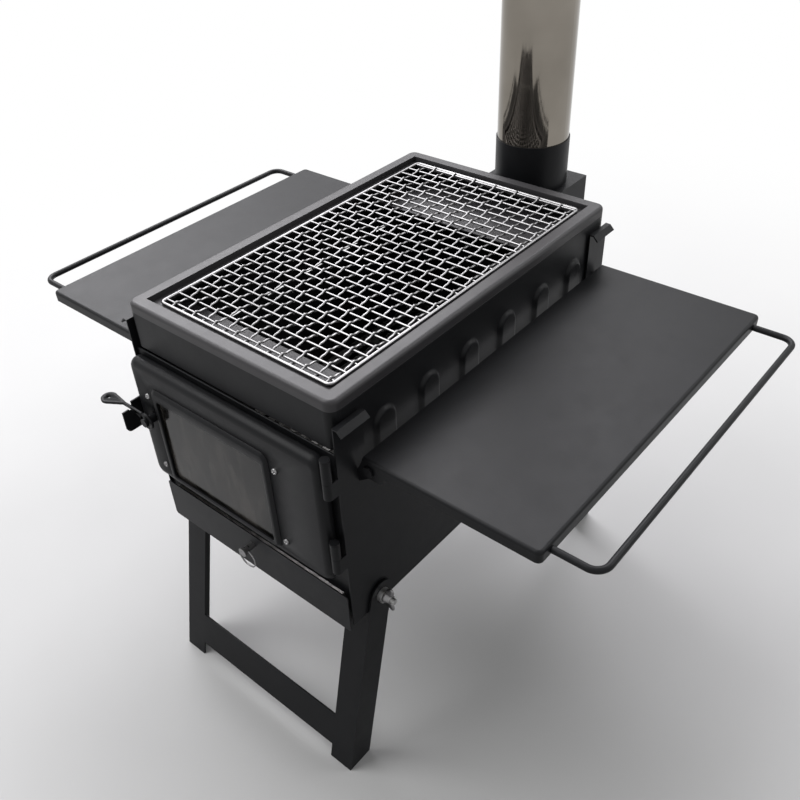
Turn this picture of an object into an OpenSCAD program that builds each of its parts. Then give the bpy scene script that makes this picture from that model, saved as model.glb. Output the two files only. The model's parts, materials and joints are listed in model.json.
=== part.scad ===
// Camping wood stove on folding leg frames, with a lift-off top frame,
// a glass door, an ash drawer, two folding side shelves and a flue.
// The modules draw about the centre of the cooking rim's top plane:
// X to the right, Y to the rear, Z up. placed() puts that point at its
// height above the ground and centres the whole stove front to back.

/* [Overall] */
// Height of the cooking rim above the ground
rim_h = 468; // [430:1:560]
// Thickness of the firebox and frame sheet
sheet = 1.2; // [0.8:0.1:2]
// Gap left between pieces that move against each other
gap = 0.3; // [0.2:0.05:0.5]
// Running clearance of a round shaft in its hole, on the radius
run = 0.05; // [0.03:0.01:0.1]

/* [Firebox] */
// Outer width over the side walls
box_w = 259; // [240:1:320]
// Length from the front plate to the rear plate
box_l = 412; // [380:1:480]
// Depth of the firebox floor below the rim
box_drop = 257; // [250:1:300]
// Depth of the side walls' top edge below the rim
wall_drop = 80; // [70:1:90]
// Depth of the front and rear plates' top edge below the rim
plate_drop = 51; // [50:0.5:54]
// How far the side walls stand forward of the front plate
wall_proud = 3; // [2:0.5:5]
// Radius of the rolled hem on the front and rear plates
hem_r = 1; // [0.8:0.1:1.5]

/* [Corner guides] */
// Length of each guide along the wall
guide_l = 33; // [24:1:40]
// Depth of the guides' top below the rim
guide_drop = 20; // [16:1:30]
// Width of the level part of the flared lip
lip_level = 4; // [2:0.5:6]
// Width and fall of the sloping part of the flared lip
lip_slope = 5; // [3:0.5:6]

/* [Top frame] */
// Play of the top frame inside the side walls, each side
frame_play = 1.7; // [0.5:0.1:3]
// Width of the flat cooking rim
rim_w = 13.4; // [10:0.2:20]
// Outer radius of the rim's rolled edge
rim_bend = 4; // [3:0.5:6]
// Corner radius of the rim, seen from above
rim_corner = 9; // [7:0.5:12]
// Height of the rolled rim band
rim_band = 10; // [7:0.5:14]
// Depth of the front and rear skirts below the rim
front_skirt = 47; // [40:0.5:49]
// How far the side skirts reach below the top edge of the walls
skirt_lap = 2; // [1:0.5:4]
// Depth of the grill ledge below the rim
ledge_drop = 6; // [5:0.5:12]
// Lap of the grill on its ledge
ledge_lap = 3.6; // [2:0.2:5]
// Depth of the baffle plates below the rim
baffle_drop = 30; // [24:1:40]
// Length of the smoke baffle from the rear skirt
baffle_l = 82; // [50:1:120]
// Length of the front baffle from the front skirt
front_baffle_l = 60; // [30:1:90]

/* [Vent hoods] */
// Number of vent hoods on each side skirt
hood_count = 6; // [3:1:6]
// Distance between vent hoods
hood_pitch = 58.8; // [40:0.2:60]
// Radius of a vent hood
hood_r = 13; // [8:0.5:16]
// How far a vent hood stands out
hood_out = 4.6; // [3:0.2:5]
// Depth of the hoods' open lower edge below the rim
hood_drop = 52; // [40:1:60]

/* [Cooking grill] */
// Gap between the grill and the rim's inner edge, each side
grill_play = 6; // [2:0.1:9]
// Thickness of the net
net_t = 3; // [2:0.2:5]
// Width of a net wire
wire_w = 2.2; // [1.6:0.1:3]
// Width of the border rods
border_w = 4; // [3:0.2:6]
// Number of gaps across the net
net_nx = 13; // [6:1:13]
// Number of gaps along the net
net_ny = 23; // [8:1:23]
// Sideways crimp of the wires
crimp = 0.7; // [0:0.1:1.2]

/* [Firebox inside] */
// Depth of the fire grate's top below the rim
grate_drop = 203; // [190:1:210]
// Thickness of the fire grate
grate_t = 2; // [1.5:0.5:4]
// Number of slots across the fire grate
slot_nx = 4; // [3:1:6]
// Number of slots along the fire grate
slot_ny = 14; // [8:1:18]
// Width of a slot
slot_w = 8; // [5:0.5:10]
// Bar left between two slots, end to end
slot_bar = 14; // [8:1:20]
// Width of the ledges that carry the frame and the grate
shelf_ledge = 10; // [6:0.5:14]

/* [Door] */
// Distance of the door's free edge inside the side wall
door_free = 0.5; // [0.3:0.1:2]
// Distance of the door's hinge edge inside the side wall
door_hinged = 10.5; // [10:0.1:14]
// Depth of the door's top edge below the rim
door_drop = 56; // [54:0.5:60]
// Height of the door
door_h = 143; // [136:1:150]
// Depth of the pressed door pan
door_deep = 10.7; // [8:0.1:14]
// Outer bend radius of the door pan
door_bend = 4; // [2.5:0.5:5]
// Corner radius of the door pan
door_corner = 8; // [6:0.5:12]
// Radius of the hinge barrels
barrel_r = 4.4; // [3.6:0.1:5]
// Radius of the hinge pins
pin_r = 2.2; // [1.5:0.1:2.6]
// How far the hinge axis lies behind the door's face
hinge_sink = 3; // [2:0.2:4]
// Depth of the upper hinge's top below the rim
upper_hinge = 49; // [48:0.5:52]
// Length of the upper door knuckle
upper_knuckle = 22.5; // [20:0.5:26]
// Depth of the lower hinge's top below the rim
lower_hinge = 143; // [120:1:150]
// Length of the other knuckles
knuckle = 17; // [12:0.5:20]

/* [Door opening] */
// Margin of the fire opening inside the side walls
opening_side = 30; // [24:1:40]
// Depth of the fire opening's top below the rim
opening_drop = 70; // [66:1:80]
// Height of the fire opening
opening_h = 116; // [100:1:122]
// Width of the rope gasket
gasket_w = 8; // [5:0.5:12]

/* [Window] */
// Height of the window centre line above the door's bottom edge
window_up = 58; // [54:1:62]
// Distance of the window's left edge from the door's free edge
window_left = 36; // [34:1:46]
// Width of the glass that shows
window_w = 137; // [120:1:144]
// Height of the glass that shows
window_h = 92; // [80:1:94]
// Corner radius of the window
window_corner = 8; // [5:0.5:12]
// Window frame width on the left and at the bottom
frame_narrow = 7; // [5:0.5:8]
// Window frame width on the right and at the top
frame_wide = 12.5; // [8:0.5:14]
// How far the window frame stands out of the door
frame_out = 2; // [1:0.2:3]
// Thickness of the glass
glass_t = 4; // [3:0.5:4.5]
// Lap of the glass behind its frame
glass_lap = 2; // [1.5:0.5:3]
// Radius of a window screw's head
screw_r = 3.2; // [2.5:0.1:3.5]
// Radius of a window screw's shank
shank_r = 1.6; // [1.2:0.1:2]

/* [Latch] */
// Distance of the latch bolt from the door's free edge
latch_in = 24; // [22:0.5:26]
// Depth of the latch bolt below the rim
latch_drop = 115; // [110:0.5:120]
// Height of the spacer under the lever
latch_stand = 7.2; // [6.5:0.1:9]
// Thickness of the lever
lever_t = 3; // [2:0.2:4]
// Radius of the lever's round end
lever_r = 8.8; // [7:0.2:10]
// Height of the lever's neck
neck_h = 6; // [5:0.2:8]
// Height of the neck's lower edge above the latch bolt
neck_up = 4; // [3:0.2:5]
// Distance from the latch bolt to the neck's far end
neck_end = 38; // [34:0.5:42]
// Distance from the latch bolt to the paddle's end
lever_l = 63; // [58:1:70]
// Width of the paddle
paddle_w = 20; // [14:0.5:24]
// Radius of the hole in the paddle
paddle_hole = 3.2; // [2:0.1:4]
// Thickness of the catch plate
catch_t = 1.5; // [1:0.1:1.8]
// Height of the catch plate
catch_h = 32; // [26:1:38]
// Depth of the catch's notch below its nose
catch_notch = 2; // [1:0.1:3]
// Length of the catch's nose in front of the notch
catch_nose = 7.6; // [5:0.2:10]
// Length of the catch plate that lies on the side wall
catch_lap = 24; // [16:1:30]

/* [Ash drawer] */
// Distance of the drawer front's ends inside the side walls
drawer_in = 2; // [0.5:0.5:4]
// Height of the drawer front
drawer_h = 48; // [46:1:54]
// How far the drawer front hangs below the firebox floor
drawer_hang = 8; // [5:0.5:10]
// Corner radius of the drawer front
drawer_corner = 3; // [2:0.5:6]
// Margin of the ash tray inside the side walls
tray_side = 11.5; // [11:0.5:14]
// Height of the ash tray
tray_h = 33; // [24:1:34]
// Distance from the ash tray's back to the rear plate
tray_short = 16; // [8:1:40]
// Depth of the stud below the drawer front's top edge
stud_down = 14; // [12:0.5:20]
// Length of the stud
stud_l = 14; // [12:0.5:18]
// Radius of the stud
stud_r = 3.5; // [3:0.1:4]
// Radius of the stud's head
stud_head = 5; // [4:0.2:6]
// Radius of the ring, to the middle of its wire
ring_r = 11.2; // [10:0.2:14]
// Radius of the ring's wire
ring_wire = 1.3; // [1:0.05:1.4]
// Play of the ring's wire in the stud's hole
ring_play = 0.8; // [0.7:0.05:0.9]

/* [Shelves] */
// Gap between a shelf's inner edge and the side wall
shelf_off = 6.5; // [6.2:0.1:8]
// Width of a shelf, away from the firebox
shelf_w = 167; // [120:1:200]
// Length of a shelf, front to back
shelf_l = 383; // [375:1:390]
// How far the shelves' centre lies behind the firebox's centre
shelf_back = 4.5; // [2:0.5:6]
// Depth of the shelf tops below the rim
shelf_drop = 61; // [59:0.5:64]
// Thickness of the shelf sheet
shelf_t = 1.5; // [1:0.1:2]
// Height of a shelf's turned-down edge
shelf_edge = 11; // [9:0.5:14]
// Outer bend radius of a shelf's edge
shelf_bend = 3; // [2:0.5:4]
// Corner radius of a shelf
shelf_corner = 5; // [4:0.5:8]
// Length of the deeper ear at a shelf's inner end
ear_l = 22; // [18:1:30]
// Height of the ear
ear_h = 19; // [17:0.5:21]
// Distance of the shelf pivot from the side wall
pivot_out = 13.5; // [13:0.1:15]
// Depth of the shelf pivot below the shelf top
pivot_down = 10.8; // [10:0.1:11.5]
// Radius of the shelf pivot screws
pivot_r = 2.5; // [2:0.1:3]

/* [Rails] */
// Radius of the rail rod
rail_r = 3; // [2:0.1:3.5]
// How far the rail stands out from the shelf
rail_out = 43; // [30:1:60]
// Distance of the rail's ends inside the shelf's ends
rail_in = 15; // [12:1:30]
// Bend radius of the rail, to the middle of the rod
rail_bend = 12; // [8:0.5:16]
// Radius of the rail nuts, over their corners
rail_nut_r = 4.2; // [4.1:0.1:4.3]
// Height of the rail nuts
rail_nut_h = 4; // [3:0.5:6]

/* [Flue] */
// Width of the flue box
flue_w = 96; // [90:1:110]
// Length of the flue box behind the firebox
flue_l = 100; // [94:1:120]
// Depth of the flue box's top below the rim
flue_drop = 24.5; // [20:0.5:30]
// Depth of the flue box's bottom below the rim
flue_floor = 100; // [90:1:120]
// Distance of the pipe's axis behind the rear plate
pipe_back = 57; // [50:1:62]
// Outer diameter of the flue pipe
pipe_d = 79; // [70:0.5:82]
// Wall of the flue pipe
pipe_wall = 0.8; // [0.6:0.1:1.2]
// Height of the flue pipe's top above the rim
pipe_up = 350; // [120:1:900]
// Wall of the collar
collar_wall = 1.1; // [0.8:0.05:1.6]
// Height of the collar
collar_h = 51.5; // [30:0.5:70]
// Width of the seat under the pipe
pipe_seat = 2; // [1.5:0.1:4]

/* [Leg frames] */
// Distance of the leg pivots from the firebox's centre
leg_y = 172; // [150:1:190]
// Height of the leg pivots above the firebox floor
leg_up = 12.5; // [11:0.5:16]
// Forward lean of an open leg
leg_lean = 13.3; // [8:0.1:18]
// Thickness of the leg sheet
leg_t = 2; // [1.5:0.1:3]
// Width of a leg's broad face
leg_face = 28.5; // [20:0.5:36]
// Height of the crossbar
bar_h = 43; // [30:1:60]
// Height of the crossbar's lower edge above the ground
bar_up = 14; // [8:1:40]
// Gap between the side wall and a front leg
leg_off = 1; // [0.8:0.1:2]
// Radius of the leg bolts
bolt_r = 3; // [2.5:0.1:4]
// Radius of the leg bolts' heads inside the firebox
bolt_head = 5; // [4.5:0.1:6]
// Height of those heads
bolt_head_h = 3.5; // [2:0.1:4]
// Radius of the leg washers
washer_r = 7.5; // [6:0.1:9]
// Radius of a wing nut's hub
hub_r = 5.5; // [5:0.1:7]
// Height of a wing nut's hub
hub_h = 7; // [5:0.5:9]
// Reach of a wing nut's wings
wing_reach = 15; // [11:0.5:18]
// Thickness of a wing
wing_t = 2; // [1.5:0.1:3]

/* [Hidden] */
// Overrun of a cut past the face that it opens
over = 1;
$fn = 48;

// Firebox
half_w = box_w / 2;
half_l = box_l / 2;
inner_w = half_w - sheet;
inner_l = half_l - sheet;
floor_z = -box_drop;
guide_y = half_l + wall_proud;

// Top frame
frame_w = box_w - 2 * sheet - 2 * frame_play;
side_skirt = wall_drop + skirt_lap;
open_w = frame_w - 2 * rim_w;
open_l = box_l - 2 * rim_w;
ledge_w = grill_play + ledge_lap;
seat_z = -side_skirt - gap;

// Fire grate
grate_w = box_w - 2 * sheet - 2 * frame_play;
grate_l = box_l - 2 * sheet - 2 * frame_play;
grate_ledge = -grate_drop - grate_t - gap;

// Door
door_face = half_l + wall_proud + gap + door_deep;
door_x0 = -half_w + door_free;
door_x1 = half_w - door_hinged;
door_w = door_x1 - door_x0;
door_bottom = -door_drop - door_h;
hinge_x = half_w - barrel_r;
hinge_y = -door_face + hinge_sink;
upper_body = -upper_hinge - upper_knuckle - gap;
lower_body = -lower_hinge - knuckle - gap;
pin_head = 1.5;
tongue_t = 1.5;

// Window, with its places measured on the door
window_x0 = door_x0 + window_left;
window_x = window_x0 + window_w / 2;
window_z = door_bottom + window_up;
trim_x0 = window_x0 - frame_narrow;
trim_x1 = window_x0 + window_w + frame_wide;
trim_z0 = window_z - window_h / 2 - frame_narrow;
trim_z1 = window_z + window_h / 2 + frame_wide;
screw_in = 7.4;
screw_top = 10.5;
screw_bottom = 15;
screw_h = 2.2;
seal_t = 1;
seal_w = 4;
clamp_edge = 4.6;
clamp_y = -door_face + glass_t + seal_t;

// Latch
latch_x = door_x0 + latch_in;
lever_y = -door_face - latch_stand - gap;
neck_z = -latch_drop + neck_up;
bolt_thin = 2.5;
boss_r = 4.5;
paddle_start = neck_end + 8;
paddle_z = neck_up + neck_h / 2;
nose_z = neck_z - gap;
catch_play = 0.6;
catch_round = 6;
catch_back_z = -latch_drop + neck_up + neck_h + over;

// Ash drawer
drawer_y = half_l + 2 * wall_proud;
drawer_top = floor_z - drawer_hang + drawer_h;
tray_floor = floor_z + sheet + gap;
notch_play = 1;
notch_top = tray_floor + tray_h + notch_play + gap;
stud_z = drawer_top - stud_down;
hole_r = ring_wire + ring_play;
ring_y = -drawer_y - stud_l + stud_head;
stud_head_h = 2;

// Shelves
shelf_x0 = half_w + shelf_off;
shelf_x1 = shelf_x0 + shelf_w;
pivot_x = half_w + pivot_out;
pivot_z = -shelf_drop - pivot_down;
ear_y = shelf_l / 2;
lug_t = 1.5;
lug_r = 7;
lug_top = 8;
lug_foot = 19;
pivot_head = 5;
pivot_head_h = 2.2;
ear_cut = 3;
rail_z = -shelf_drop - shelf_edge * 0.6;
rail_y = shelf_l / 2 - rail_in;
rail_tail = 5;

// Flue
flue_y0 = half_l;
flue_y1 = half_l + flue_l;
pipe_y = half_l + pipe_back;
pipe_r = pipe_d / 2;
collar_in = pipe_r + run;
skirt_clear = 1.3;
port_strip = 5;

// Legs
leg_z = floor_z + leg_up;
ground = -rim_h;
leg_in = leg_up + gap;
leg_front_x = half_w + leg_off;
leg_rear_x = leg_front_x + leg_t + 2 * gap + leg_t / 2;
leg_half = leg_in + leg_t;
leg_long = (rim_h - box_drop + leg_up) / cos(leg_lean) + leg_half;
washer_t = leg_off - gap;
nut_x = leg_rear_x + leg_t + gap + sheet + gap;
bolt_tail = 4;

// Middle of the whole stove, front to back
foot_y = leg_y + (rim_h - box_drop + leg_up) * tan(leg_lean) + leg_half / cos(leg_lean);
mid_y = (flue_y1 - foot_y) / 2;

// Colours
coat = [0.06, 0.06, 0.065];
coat_light = [0.2, 0.19, 0.2];
steel = [0.75, 0.75, 0.76];
zinc = [0.62, 0.62, 0.6];

// Moves from the rim's centre to the stove's own origin on the ground
module placed() {
    translate([0, -mid_y, rim_h]) children();
}

// A child and its copy across the middle plane, left and right
module both_sides() {
    children();
    mirror([1, 0, 0]) children();
}

// A child and its copy across the middle plane, front and rear
module both_ends() {
    children();
    mirror([0, 1, 0]) children();
}

// A flat panel between two corners
module slab(a, b) {
    translate(a) cube([b[0] - a[0], b[1] - a[1], b[2] - a[2]]);
}

// Flat outline drawn in X and Z and given a thickness along Y, from y on
module upright(y, t) {
    translate([0, y + t, 0]) rotate([90, 0, 0]) linear_extrude(t) children();
}

// Flat outline drawn in Y and Z and given a thickness along X, from x on
module sideways(x, t) {
    translate([x, 0, 0]) rotate([90, 0, 90]) linear_extrude(t) children();
}

// Rectangle with round corners about the middle
module round_rect(w, h, r) {
    square([w - 2 * r, h], center = true);
    square([w, h - 2 * r], center = true);
    for (x = [-1, 1], y = [-1, 1])
        translate([x * (w / 2 - r), y * (h / 2 - r)]) circle(r);
}

// Section of a rolled edge: X outward from the bend's centre, Y up to the face
module edge_section(deep, t, bend) {
    translate([0, -bend]) difference() {
        intersection() {
            circle(bend);
            square(bend);
        }
        circle(bend - t);
    }
    translate([bend - t, -deep]) square([t, deep - bend]);
}

// Rolled edge round a rectangle, with its outer face at z = 0 and its walls down
module rolled_edge(w, l, deep, t, bend, corner) {
    for (s = [-1, 1]) {
        scale([s, 1, 1]) translate([w / 2 - bend, l / 2 - corner, 0])
            rotate([90, 0, 0]) linear_extrude(l - 2 * corner)
                edge_section(deep, t, bend);
        scale([1, s, 1]) translate([-w / 2 + corner, l / 2 - bend, 0])
            rotate([90, 0, 90]) linear_extrude(w - 2 * corner)
                edge_section(deep, t, bend);
    }
    for (a = [0:3])
        translate([(a == 0 || a == 3 ? 1 : -1) * (w / 2 - corner),
                (a < 2 ? 1 : -1) * (l / 2 - corner), 0])
            rotate([0, 0, a * 90]) rotate_extrude(angle = 90)
                translate([corner - bend, 0]) edge_section(deep, t, bend);
}

// Pressed pan: a flat face with rolled edges and turned-down walls
module pan(w, l, deep, t, bend, corner) {
    translate([0, 0, -t]) linear_extrude(t)
        round_rect(w - 2 * bend, l - 2 * bend, corner - bend);
    rolled_edge(w, l, deep, t, bend, corner);
}

// Tube standing on z
module tube(outer, inner, z, h) {
    translate([0, 0, z]) difference() {
        cylinder(r = outer, h = h, $fn = 96);
        translate([0, 0, -over]) cylinder(r = inner, h = h + 2 * over, $fn = 96);
    }
}

// Rod along X from x0 to x1
module rod_x(r, x0, x1) {
    translate([x0, 0, 0]) rotate([0, 90, 0]) cylinder(r = r, h = x1 - x0);
}

// Rod along Y from y0 to y1
module rod_y(r, y0, y1) {
    translate([0, y1, 0]) rotate([90, 0, 0]) cylinder(r = r, h = y1 - y0);
}

// Firebox

// One side wall, on the right
module side_wall() {
    difference() {
        slab([inner_w, -guide_y, floor_z], [half_w, half_l, -wall_drop]);
        for (s = [-1, 1])
            translate([0, s * leg_y, leg_z]) rod_x(bolt_r, inner_w - over, half_w + over);
    }
}

module left_side_wall() {
    color(coat) placed() mirror([1, 0, 0]) side_wall();
}

module right_side_wall() {
    color(coat) placed() side_wall();
}

// Section of a guide: the upright, then a lip flared out in two steps
module guide_section() {
    top = -guide_drop;
    polygon([[inner_w, -wall_drop], [half_w, -wall_drop], [half_w, top - sheet],
        [half_w + lip_level - sheet / 2, top - sheet],
        [half_w + lip_level + lip_slope - sheet, top - lip_slope - sheet],
        [half_w + lip_level + lip_slope, top - lip_slope],
        [half_w + lip_level, top], [inner_w, top]]);
}

// Uprights at the four corners that centre the top frame
module corner_guides() {
    color(coat) placed() both_sides() {
        upright(-guide_y, guide_l) guide_section();
        upright(half_l - guide_l, guide_l) guide_section();
    }
}

// Front plate with the fire opening and the notch for the ash drawer
module front_plate() {
    open_x = half_w - opening_side;
    notch_x = inner_w - tray_side + sheet + notch_play;
    color(coat) placed() {
        difference() {
            slab([-inner_w, -half_l, floor_z], [inner_w, -inner_l, -plate_drop - hem_r]);
            slab([-open_x, -half_l - over, -opening_drop - opening_h],
                [open_x, -inner_l + over, -opening_drop]);
            slab([-notch_x, -half_l - over, floor_z - over],
                [notch_x, -inner_l + over, notch_top]);
        }
        translate([0, -half_l + hem_r, -plate_drop - hem_r]) rod_x(hem_r, -inner_w, inner_w);
    }
}

// Rear plate with the port to the flue box
module rear_plate() {
    port_x = flue_w / 2 - sheet;
    color(coat) placed() {
        difference() {
            slab([-inner_w, inner_l, floor_z], [inner_w, half_l, -plate_drop - hem_r]);
            slab([-port_x, inner_l - over, -flue_floor + sheet],
                [port_x, half_l + over, -plate_drop - hem_r - port_strip]);
        }
        translate([0, half_l - hem_r, -plate_drop - hem_r]) rod_x(hem_r, -inner_w, inner_w);
    }
}

module bottom_plate() {
    color(coat) placed()
        slab([-inner_w, -inner_l, floor_z], [inner_w, inner_l, floor_z + sheet]);
}

// Angle strip on the inside of the right wall whose top lies at z
module wall_angle(z) {
    slab([inner_w - shelf_ledge, -inner_l, z - sheet], [inner_w, inner_l, z]);
    slab([inner_w - sheet, -inner_l, z - shelf_ledge], [inner_w, inner_l, z - sheet]);
}

// Strips that the side skirts of the top frame stand on
module frame_ledges() {
    color(coat) placed() both_sides() wall_angle(seat_z);
}

// Strips that the fire grate lies on
module grate_ledges() {
    color(coat) placed() both_sides() wall_angle(grate_ledge);
}

// Slotted grate between the fire and the ash drawer
module fire_grate() {
    slot_l = (grate_l - (slot_nx + 1) * slot_bar) / slot_nx;
    pitch = (grate_w - 2 * shelf_ledge) / slot_ny;
    color(zinc) placed() translate([0, 0, -grate_drop - grate_t]) linear_extrude(grate_t)
        difference() {
            square([grate_w, grate_l], center = true);
            for (i = [0:slot_ny - 1], j = [0:slot_nx - 1])
                translate([(i + 0.5) * pitch - grate_w / 2 + shelf_ledge,
                        slot_bar + (slot_l + slot_bar) * j + slot_l / 2 - grate_l / 2])
                    square([slot_w, slot_l], center = true);
        }
}

// Flue

// Box behind the firebox that leads the smoke up into the collar
module flue_box() {
    wide = flue_w / 2;
    hole_seat = pipe_r - pipe_wall - pipe_seat;
    color(coat) placed() difference() {
        union() {
            slab([-wide, flue_y0, -flue_floor], [wide, flue_y1, -plate_drop]);
            slab([-wide, flue_y0 + skirt_clear, -plate_drop], [wide, flue_y1, -flue_drop]);
        }
        slab([-wide + sheet, flue_y0 - over, -flue_floor + sheet],
            [wide - sheet, flue_y1 - sheet, -plate_drop - hem_r - port_strip]);
        slab([-wide + sheet, flue_y0 + skirt_clear + sheet, -flue_floor + sheet],
            [wide - sheet, flue_y1 - sheet, -flue_drop - sheet]);
        translate([0, pipe_y, -flue_drop - sheet - over])
            cylinder(r = hole_seat, h = sheet + 2 * over, $fn = 96);
    }
}

module flue_collar() {
    color(coat) placed() translate([0, pipe_y, 0])
        tube(collar_in + collar_wall, collar_in, -flue_drop, collar_h);
}

module flue_pipe() {
    foot = -flue_drop + gap;
    color(steel) placed() translate([0, pipe_y, 0])
        tube(pipe_r, pipe_r - pipe_wall, foot, pipe_up - foot);
}

// Top frame

// Rim rolled down outside and turned down inside into the grill ledge
module top_rim() {
    color(coat_light) placed() {
        rolled_edge(frame_w, box_l, rim_band, sheet, rim_bend, rim_corner);
        translate([0, 0, -sheet]) linear_extrude(sheet) difference() {
            round_rect(frame_w - 2 * rim_bend, box_l - 2 * rim_bend, rim_corner - rim_bend);
            square([open_w, open_l], center = true);
        }
        translate([0, 0, -ledge_drop]) linear_extrude(ledge_drop - sheet) difference() {
            square([open_w + 2 * sheet, open_l + 2 * sheet], center = true);
            square([open_w, open_l], center = true);
        }
        translate([0, 0, -ledge_drop - sheet]) linear_extrude(sheet) difference() {
            square([open_w + 2 * sheet, open_l + 2 * sheet], center = true);
            square([open_w - 2 * ledge_w, open_l - 2 * ledge_w], center = true);
        }
    }
}

// Front skirt, which turns round the corners to meet the side skirts
module end_skirt() {
    translate([0, 0, -front_skirt]) linear_extrude(front_skirt - rim_band)
        intersection() {
            difference() {
                round_rect(frame_w, box_l, rim_corner);
                round_rect(frame_w - 2 * sheet, box_l - 2 * sheet, rim_corner - sheet);
            }
            translate([-frame_w / 2, -half_l]) square([frame_w, rim_corner]);
        }
}

module skirt_front() {
    color(coat) placed() end_skirt();
}

module skirt_rear() {
    color(coat) placed() mirror([0, 1, 0]) end_skirt();
}

// Point at angle a on the cap's profile, at height h over a rim of radius r
function cap_point(r, h, a) = [r * cos(a), h * sin(a)];

// Section of a vent hood from the back of the skirt out to the cap's top
module hood_section() {
    steps = [0, 1 / 4, 1 / 2, 3 / 4, 1];
    deep = hood_r - sheet;
    polygon(concat([[hood_r, -sheet]], [for (k = steps) cap_point(hood_r, hood_out, k * 90)],
        [for (k = steps) cap_point(deep, hood_out - sheet, (1 - k) * 90)], [[deep, -sheet]]));
}

// Places of the vent hoods along a side skirt
module hood_places() {
    for (i = [0:hood_count - 1])
        translate([0, (i - (hood_count - 1) / 2) * hood_pitch, -hood_drop])
            rotate([90, 0, 90]) children();
}

// Right skirt with its row of pressed vent hoods, each open at its lower edge
module side_skirt_wall() {
    x1 = frame_w / 2;
    reach = half_l - rim_corner;
    difference() {
        slab([x1 - sheet, -reach, -side_skirt], [x1, reach, -rim_band]);
        hood_places() translate([0, 0, x1 - sheet - over]) rotate_extrude(angle = 180)
            square([hood_r, sheet + 2 * over]);
    }
    hood_places() translate([0, 0, x1]) rotate_extrude(angle = 180) hood_section();
}

module skirt_left() {
    color(coat) placed() mirror([1, 0, 0]) side_skirt_wall();
}

module skirt_right() {
    color(coat) placed() side_skirt_wall();
}

// Plate across the top frame, from its rear skirt forward by a length
module cross_plate(l) {
    translate([0, 0, -baffle_drop]) linear_extrude(sheet)
        intersection() {
            round_rect(frame_w - 2 * sheet, box_l - 2 * sheet, rim_corner - sheet);
            translate([-half_w, inner_l - l]) square([box_w, l]);
        }
}

// Plate under the rear of the grill that holds the smoke back from the flue
module baffle_plate() {
    color(coat_light) placed() cross_plate(baffle_l);
}

// Plate under the front of the grill that keeps the flames off the front skirt
module front_baffle() {
    color(coat_light) placed() mirror([0, 1, 0]) cross_plate(front_baffle_l);
}

// Place of a wire crossing in the net, pushed aside by the crimp
function crossing(i, j, w, l) = [
    (i / net_nx - 0.5) * w + (i == 0 || i == net_nx ? 0 : crimp * pow(-1, i + j)),
    (j / net_ny - 0.5) * l + (j == 0 || j == net_ny ? 0 : crimp * pow(-1, i + j))];

// Lift-out net of crimped wires inside a border of rods
module grill_net() {
    w = open_w - 2 * grill_play;
    l = open_l - 2 * grill_play;
    net_w = w - 2 * border_w + wire_w;
    net_l = l - 2 * border_w + wire_w;
    half = wire_w / 2;
    edge = [[-w / 2, -l / 2], [w / 2, -l / 2], [w / 2, l / 2], [-w / 2, l / 2]];
    holes = [for (i = [0:net_nx - 1], j = [0:net_ny - 1])
        [crossing(i, j, net_w, net_l) + [half, half],
         crossing(i + 1, j, net_w, net_l) + [-half, half],
         crossing(i + 1, j + 1, net_w, net_l) + [-half, -half],
         crossing(i, j + 1, net_w, net_l) + [half, -half]]];
    points = concat(edge, [for (h = holes) for (p = h) p]);
    paths = concat([[0, 1, 2, 3]],
        [for (k = [0:len(holes) - 1]) [for (c = [0:3]) 4 + 4 * k + c]]);
    color(steel) placed() translate([0, 0, -ledge_drop + gap]) linear_extrude(net_t)
        polygon(points, paths);
}

// Door

// Door pan with the opening for the glass and the window screws' holes
module door_panel() {
    glass_w = window_w + 2 * glass_lap;
    glass_h = window_h + 2 * glass_lap;
    color(coat) placed() difference() {
        translate([(door_x0 + door_x1) / 2, -door_face, door_bottom + door_h / 2])
            rotate([90, 0, 0]) pan(door_w, door_h, door_deep, sheet, door_bend, door_corner);
        translate([window_x, 0, window_z])
            upright(-door_face - over, sheet + 2 * over)
                round_rect(glass_w, glass_h, window_corner);
        window_screw_places() rod_y(shank_r, -door_face - over, clamp_y + over);
    }
}

// The four window screws' places
module window_screw_places() {
    for (x = [trim_x0 - screw_in, trim_x1 + screw_in])
        for (z = [trim_z1 - screw_top, trim_z0 + screw_bottom])
            translate([x, 0, z]) children();
}

// Frame round the glass on the door's face
module window_frame() {
    color(coat) placed() upright(-door_face - frame_out, frame_out) difference() {
        translate([(trim_x0 + trim_x1) / 2, (trim_z0 + trim_z1) / 2])
            round_rect(trim_x1 - trim_x0, trim_z1 - trim_z0, window_corner);
        translate([window_x, window_z]) round_rect(window_w, window_h, window_corner);
    }
}

module window_glass() {
    color([0.3, 0.28, 0.27]) placed() translate([window_x, 0, window_z])
        upright(-door_face, glass_t)
            round_rect(window_w + 2 * glass_lap, window_h + 2 * glass_lap, window_corner);
}

// Heat seal between the glass and its clamp
module glass_seal() {
    color([0.5, 0.48, 0.45]) placed() translate([window_x, 0, window_z])
        upright(-door_face + glass_t, seal_t) difference() {
            round_rect(window_w + 2 * glass_lap, window_h + 2 * glass_lap, window_corner);
            round_rect(window_w - seal_w, window_h - seal_w, window_corner - seal_w / 2);
        }
}

// Plate behind the door that presses the glass to its frame
module glass_clamp() {
    x0 = trim_x0 - screw_in - clamp_edge;
    x1 = trim_x1 + screw_in + clamp_edge;
    color(coat) placed() difference() {
        upright(clamp_y, sheet) difference() {
            translate([(x0 + x1) / 2, (trim_z0 + trim_z1) / 2])
                round_rect(x1 - x0, trim_z1 - trim_z0, window_corner);
            translate([window_x, window_z])
                round_rect(window_w - seal_w, window_h - seal_w, window_corner - seal_w / 2);
        }
        window_screw_places() rod_y(shank_r, clamp_y - over, clamp_y + sheet + over);
    }
}

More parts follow.
